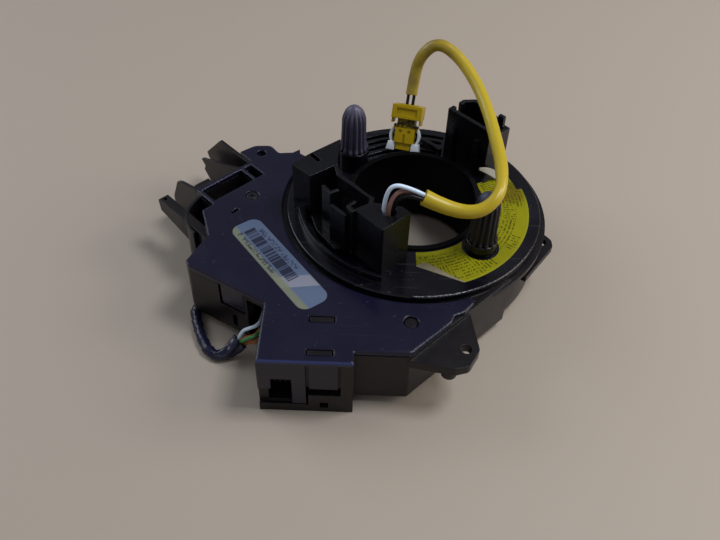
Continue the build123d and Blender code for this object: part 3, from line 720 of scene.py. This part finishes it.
lead_route = [
    (1.0, -32.0, 31.5),
    (11.0, -34.36, 27.6),
    (22.6, -36.8, 28.6),
    (30.2, -31.6, 34.0),
    (31.6, -17.0, 35.8),
    (31.2, 2.0, 34.0),
    (29.2, 20.0, 35.8),
    (25.0, 34.0, 39.8),
    (17.8, 46.0, 44.8),
    (8.6, 52.0, 48.4),
    (1.6, 51.4, 42.2),
    tuple(plug_point(0, 3.7, 35.0)),
    tuple(plug_point(0, 3.7, 25.0)),
]

lead_wires = {
    "lead_wire_white": [
        (-13.4, -31.8, 6.0),
        (-13.7, -31.6, 17.5),
        (-14.0, -31.4, 28.5),
        (-11.4, -31.2, 37.0),
        (-3.16, -31.0, 34.3),
        (1.38, -32.09, 32.53),
    ],
    "lead_wire_brown": [
        (-11.8, -33.4, 6.0),
        (-11.9, -33.2, 17.0),
        (-12.3, -33.0, 27.0),
        (-9.6, -31.6, 33.4),
        (-3.5, -29.9, 32.8),
        (1.03, -31.03, 30.99),
    ],
    "lead_wire_black": [
        (-10.5, -31.8, 6.0),
        (-10.3, -31.9, 16.0),
        (-10.4, -31.7, 25.5),
        (-8.4, -32.3, 31.2),
        (-3.96, -32.3, 32.6),
        (0.59, -32.88, 30.99),
    ],
}

harness_route = [
    (-84.5, -31.0, -29.8),
    (-93.6, -36.6, -29.8),
    (-88.9, -50.9, -29.8),
    (-83.9, -61.3, -29.8),
    (-78.9, -64.4, -29.8),
    (-74.1, -62.6, -28.4),
    (-69.9, -59.8, -25.4),
]

harness_wires = {
    "harness_wire_white": [
        (-70.83, -59.28, -24.58),
        (-69.2, -58.2, -20.4),
        (-65.8, -59.8, -16.6),
        (-61.8, -58.4, -16.0),
        (-61.0, -49.6, -17.6),
        (-60.6, -41.2, -14.4),
        (-60.6, -41.2, -9.4),
    ],
    "harness_wire_green": [
        (-69.78, -60.86, -24.58),
        (-66.8, -61.0, -21.4),
        (-63.4, -61.6, -19.4),
        (-61.0, -57.2, -19.6),
        (-58.2, -46.6, -20.4),
        (-57.2, -42.8, -16.4),
        (-57.2, -42.8, -9.4),
    ],
    "harness_wire_orange": [
        (-70.02, -58.74, -26.22),
        (-67.52, -57.8, -24.43),
        (-64.6, -59.6, -22.0),
        (-61.9, -56.5, -21.6),
        (-60.0, -42.6, -23.0),
        (-59.0, -39.0, -16.6),
        (-59.0, -39.0, -9.4),
    ],
    "harness_wire_brown": [
        (-68.97, -60.32, -26.22),
        (-66.2, -60.6, -24.43),
        (-62.9, -61.2, -23.2),
        (-60.2, -55.0, -22.9),
        (-56.6, -44.6, -23.2),
        (-55.2, -41.6, -16.4),
        (-55.2, -41.6, -9.4),
    ],
}


# Scene and finishes

place_camera()
light_the_bench()

bpy.ops.mesh.primitive_plane_add(size=bench_width, location=(0, 0, bench_level))
bench = bpy.context.object
bench.name = "bench_top"
bench_paint = new_material("pale_bench")
bench_surface = shader(bench_paint.node_tree, Roughness=bench_roughness)
bench_surface.inputs["Base Color"].default_value = bench_colour
bench.data.materials.append(bench_paint)

cover_black = cover_plastic()
housing_black = moulded_plastic(
    "housing_black", (0.0068, 0.0052, 0.0066), 0.32, dust=0.08, scratches=0.08,
    dust_colour=(0.14, 0.11, 0.09, 1), edge=0.5, Specular_IOR_Level=0.30
)
reel_black = moulded_plastic(
    "reel_black", (0.0022, 0.0020, 0.0045), 0.20, dust=0.12, grain=0.05,
    dust_colour=(0.16, 0.16, 0.22, 1), edge=0.6, Specular_IOR_Level=0.38
)
# The hub's extra-dark colour is painted shade: it lines the bore, where shade falls.
hub_painted_shade_black = moulded_plastic(
    "hub_painted_shade_black", (0.0012, 0.0012, 0.0018), 0.45, dust=0.0, scratches=0.0, grain=0.1,
    Specular_IOR_Level=0.08
)
tower_black = moulded_plastic(
    "tower_black", (0.0026, 0.0024, 0.0040), 0.26, dust=0.06, scratches=0.08, grain=0.12,
    dust_colour=(0.12, 0.12, 0.16, 1), edge=0.5, Specular_IOR_Level=0.34
)
board_dark = moulded_plastic("board_dark", (0.03, 0.035, 0.03), 0.5)
plug_yellow = plug_plastic("plug_yellow")
clip_white = moulded_plastic("clip_white", (0.70, 0.74, 0.78), 0.45, dust=0.05)
sleeve_yellow = sleeve_vinyl()
wire_white = moulded_plastic("wire_white", (0.68, 0.82, 0.98), 0.35, dust=0.1)
wire_brown = moulded_plastic("wire_brown", (0.24, 0.12, 0.10), 0.35, dust=0.05)
wire_black = moulded_plastic(
    "wire_black", (0.005, 0.005, 0.006), 0.35, dust=0.05, Specular_IOR_Level=0.25
)
wire_green = moulded_plastic("wire_green", (0.05, 0.26, 0.06), 0.35, dust=0.05)
wire_orange = moulded_plastic("wire_orange", (0.55, 0.11, 0.03), 0.35, dust=0.05)
wire_amber = moulded_plastic("wire_amber", (0.40, 0.13, 0.03), 0.35, dust=0.05)
tape_black = moulded_plastic(
    "tape_black", (0.0060, 0.0062, 0.0260), 0.24, dust=0.08, scratches=0.1, grain=0.5,
    dust_colour=(0.12, 0.13, 0.18, 1), Specular_IOR_Level=0.40
)
ribbon_film = moulded_plastic("ribbon_film", (0.30, 0.15, 0.05), 0.3)
brass = moulded_plastic("contact_brass", (0.62, 0.50, 0.25), 0.3, dust=0.05, Metallic=1.0)
dull_contacts = moulded_plastic(
    "dull_contacts", (0.07, 0.06, 0.045), 0.45, dust=0.05, Metallic=0.6
)
steel = moulded_plastic("screw_steel", (0.016, 0.016, 0.022), 0.40, dust=0.03, Metallic=0.5)

paint(["top_cover"], cover_black)
paint(["drum_housing", "base_ring", "front_socket_insert"], housing_black)
paint(["reel_disc", "retaining_ring", "pin_boss_right", "pin_boss_left"], reel_black)
paint(["hub_sleeve"], hub_painted_shade_black)
paint(["terminal_housing", "wheel_switch_shroud"], tower_black)
paint(["circuit_carrier", "ribbon_outer_terminal", "ribbon_inner_terminal"], board_dark)
paint(["plug_body"], plug_moulding())
paint(["plug_lock"], plug_yellow)
paint(["plug_wires"], wire_black)
paint(["ribbon_cable"], ribbon_film)
paint(["column_switch_contacts", "pocket_contacts"], brass)
paint(["front_socket_contacts", "wheel_switch_contacts"], dull_contacts)
paint(["cover_screw"], steel)
paint(["bar_code_label"], label_paper())
paint(["reel_sticker"], sticker_film())


# Drive pins, in millimetres

pin_circle = 37.4
right_pin_turn = -43.5
pin_ribs = 14
foot_radius, foot_top = 6.45, 1.0
shaft_radius, shaft_start = 5.7, 2.6
neck_radius = 5.35
dome_height, dome_reach = 8.4, 8.55
tooth_depth, tooth_top = 1.25, 2.4
groove_depth = 0.85
right_pin_base, right_pin_height = 5.0, 24.3
left_pin_base, left_pin_height = 9.4, 22.4
boss_radius = 6.5


def pin_outline(rise, height):
    """Radius of a drive pin at a height over its boss: toothed foot, shaft and dome."""
    shoulder = height - dome_height
    if rise < foot_top:
        return foot_radius
    if rise < shaft_start:
        slope = (rise - foot_top) / (shaft_start - foot_top)
        return foot_radius - (foot_radius - shaft_radius) * slope
    if rise < shoulder:
        slope = (rise - shaft_start) / (shoulder - shaft_start)
        return shaft_radius - (shaft_radius - neck_radius) * slope
    return neck_radius * max(0.0, 1 - ((rise - shoulder) / dome_reach) ** 2.3) ** 0.62


def flute_depth(rise, height, angle):
    """Depth of the grooves between a pin's ribs, deeper where they cut its foot into teeth."""
    valley = 0.5 - 0.5 * math.cos(angle * pin_ribs)
    fade = min(1.0, max(0.0, (height - 0.6 - rise) / 4.5))
    depth = tooth_depth if rise < tooth_top else groove_depth
    return depth * valley**1.6 * fade


def pin_place(index):
    """Centre of a drive pin; the left one stands half a turn round from the right one."""
    angle = math.radians(right_pin_turn + 180 * index)
    return pin_circle * math.cos(angle), pin_circle * math.sin(angle)


def drive_pin(name, centre, base, height, material):
    """Fluted pin that drives the steering wheel, with a pointed dome, standing on its boss."""
    bpy.ops.object.select_all(action="DESELECT")
    bpy.ops.mesh.primitive_grid_add(x_subdivisions=168, y_subdivisions=60, size=1)
    pin = bpy.context.object
    pin.name = name
    for vertex in pin.data.vertices:
        angle = math.tau * (vertex.co.x + 0.5)
        share = vertex.co.y + 0.5
        rise = height * (1 - (1 - share) ** 1.25)
        radius = max(pin_outline(rise, height) - flute_depth(rise, height, angle), 0.02)
        x = centre[0] + radius * math.cos(angle)
        y = centre[1] + radius * math.sin(angle)
        vertex.co = Vector((x, y, base + rise)) * MM
    bpy.ops.object.mode_set(mode="EDIT")
    bpy.ops.mesh.select_all(action="SELECT")
    bpy.ops.mesh.remove_doubles(threshold=0.02 * MM)
    bpy.ops.mesh.select_all(action="DESELECT")
    bpy.ops.mesh.select_non_manifold()
    bpy.ops.mesh.edge_face_add()
    bpy.ops.mesh.select_all(action="SELECT")
    bpy.ops.mesh.normals_make_consistent(inside=False)
    bpy.ops.object.mode_set(mode="OBJECT")
    bpy.ops.object.shade_smooth_by_angle(angle=math.radians(50))
    pin.data.materials.append(material)
    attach(pin, "reel")
    return pin


def round_boss(name, centre, radius, height):
    """Low boss under the right drive pin, with a rounded rim."""
    bpy.ops.object.select_all(action="DESELECT")
    bpy.ops.mesh.primitive_cylinder_add(vertices=72, radius=radius * MM, depth=height * MM)
    boss = bpy.context.object
    boss.name = name
    boss.data.transform(Matrix.Translation(Vector((*centre, height / 2)) * MM))
    rounding = boss.modifiers.new("rounding", "BEVEL")
    rounding.width = 0.5 * MM
    rounding.segments = 3
    bpy.ops.object.modifier_apply(modifier=rounding.name)
    bpy.ops.object.shade_smooth_by_angle(angle=math.radians(40))
    boss.data.materials.append(tower_black)
    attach(boss, "reel")
    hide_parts("pin_boss_right")


# White clips of the plug, in millimetres of the plug's own frame

arm_middle = (3.7, 6.3)
arm_depth, arm_length = 2.8, 8.4
arm_end, arm_bow = 5.0, 1.6
foot_middle = (5.75, 3.4, 1.3)
foot_size = (3.9, 4.8, 3.8)
foot_taper = 0.7


def clip_arm(side):
    """Springy arm of a clip, bowed away from the plug and thickest in the middle."""
    bpy.ops.mesh.primitive_cube_add(size=1)
    arm = bpy.context.object
    bpy.ops.object.mode_set(mode="EDIT")
    bpy.ops.mesh.select_all(action="SELECT")
    bpy.ops.mesh.subdivide(number_cuts=9)
    bpy.ops.object.mode_set(mode="OBJECT")
    for vertex in arm.data.vertices:
        bow = 1 - (2 * vertex.co.z) ** 2
        x = side * (arm_end + arm_bow * bow) + vertex.co.x * (0.8 + 0.4 * bow)
        y = arm_middle[0] + vertex.co.y * arm_depth
        z = arm_middle[1] + vertex.co.z * arm_length
        vertex.co = plug_point(x, y, z) * MM
    return arm


def clip_foot(side):
    """Rounded foot of a clip, beside the nose."""
    bpy.ops.mesh.primitive_cube_add(size=1)
    foot = bpy.context.object
    for vertex in foot.data.vertices:
        taper = foot_taper if vertex.co.z > 0 and vertex.co.x * side > 0 else 0.0
        x = side * (foot_middle[0] - taper) + vertex.co.x * foot_size[0]
        y = foot_middle[1] + vertex.co.y * foot_size[1]
        z = foot_middle[2] + vertex.co.z * foot_size[2]
        vertex.co = plug_point(x, y, z) * MM
    return foot


def white_clips():
    """Both clips of the plug in one piece."""
    bpy.ops.object.select_all(action="DESELECT")
    pieces = [make(side) for side in (-1, 1) for make in (clip_arm, clip_foot)]
    for piece in pieces:
        piece.select_set(True)
    bpy.context.view_layer.objects.active = pieces[1]
    bpy.ops.object.join()
    clips = bpy.context.object
    clips.name = "white_clips"
    rounding = clips.modifiers.new("rounding", "BEVEL")
    rounding.width = 0.55 * MM
    rounding.segments = 3
    rounding.limit_method = "ANGLE"
    rounding.angle_limit = math.radians(50)
    bpy.ops.object.modifier_apply(modifier=rounding.name)
    bpy.ops.object.shade_smooth_by_angle(angle=math.radians(50))
    clips.data.materials.append(clip_white)
    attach(clips, "reel")
    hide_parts("plug_clips")
    return clips


# Torn tip of the sticker, in millimetres

curl_line = [
    Vector((38.6, 20.0, 0.2)),
    Vector((35.3, 18.4, 3.6)),
    Vector((32.2, 17.0, 6.3)),
    Vector((28.8, 15.9, 7.4)),
]
curl_width, curl_narrowing = 4.6, 3.4
film_thickness = 0.16


def sticker_curl():
    """Torn tip of the sticker, curled up so that its pale back shows."""
    bpy.ops.object.select_all(action="DESELECT")
    bpy.ops.mesh.primitive_grid_add(x_subdivisions=24, y_subdivisions=6, size=1)
    tip = bpy.context.object
    tip.name = "sticker_curl"
    for vertex in tip.data.vertices:
        far = vertex.co.x + 0.5
        near = 1 - far
        weights = (near**3, 3 * near**2 * far, 3 * near * far**2, far**3)
        middle = sum((place * weight for place, weight in zip(curl_line, weights)), Vector())
        across = vertex.co.y * (curl_width - curl_narrowing * far**1.5)
        roll = math.radians(20 + 50 * far)
        vertex.co = (middle + Vector((0, math.cos(roll), math.sin(roll))) * across) * MM
    thick = tip.modifiers.new("film", "SOLIDIFY")
    thick.thickness = film_thickness * MM
    bpy.ops.object.modifier_apply(modifier=thick.name)
    bpy.ops.object.shade_smooth()
    tip.data.materials.append(film_back)
    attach(tip, "reel")
    return tip


# The right pin's foot colour, far darker than the left pin's, is painted shade: the right pin
# stands in shadow.
pin_right_painted_shade = pin_plastic("pin_right_painted_shade", (0.0095, 0.0085, 0.0110), (0.100, 0.110, 0.200))
pin_left_grey = pin_plastic("pin_left_grey", (0.064, 0.060, 0.094), (0.088, 0.084, 0.128))
pin_right = drive_pin(
    "fluted_pin_right", pin_place(0), right_pin_base, right_pin_height, pin_right_painted_shade
)
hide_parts("drive_pin_right")
round_boss("boss_right", pin_place(0), boss_radius, right_pin_base)
pin_left = drive_pin("fluted_pin_left", pin_place(1), left_pin_base, left_pin_height, pin_left_grey)
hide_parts("drive_pin_left")
clips = white_clips()

film_back = moulded_plastic("film_back", (0.30, 0.28, 0.23), 0.5, scratches=0.1)
sticker_curl()


# Leads and harness

sleeve_line = guide_line("sleeve_line", lead_route)
sleeve = hollow_tube("yellow_sleeve", sleeve_line, sleeve_radius, sleeve_mouth)
sleeve.data.materials.append(sleeve_yellow)
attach(sleeve, "reel")
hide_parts("lead_sleeve")

lead_paints = {
    "lead_wire_white": wire_white,
    "lead_wire_brown": wire_brown,
    "lead_wire_black": wire_black,
}
for node, route in lead_wires.items():
    wire = route_curve(node + "_lead", route, lead_wire_diameter)
    wire.data.materials.append(lead_paints[node])
    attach(wire, "reel")
    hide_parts(node)
    run_length(spline_places(wire))

harness_line = guide_line("harness_line", harness_route)
harness = hollow_tube("taped_harness", harness_line, tape_radius, tape_mouth)
harness.data.materials.append(tape_black)
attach(harness, "housing")
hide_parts("harness_tape")

harness_paints = {
    "white": wire_white,
    "green": wire_green,
    "orange": wire_orange,
    "brown": wire_amber,
}
for colour, material in harness_paints.items():
    node = "harness_wire_" + colour
    route = harness_wires[node]
    wire = route_curve(colour + "_tail", route, harness_wire_diameter)
    wire.data.materials.append(material)
    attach(wire, "housing")
    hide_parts(node)
    run_length(spline_places(wire))
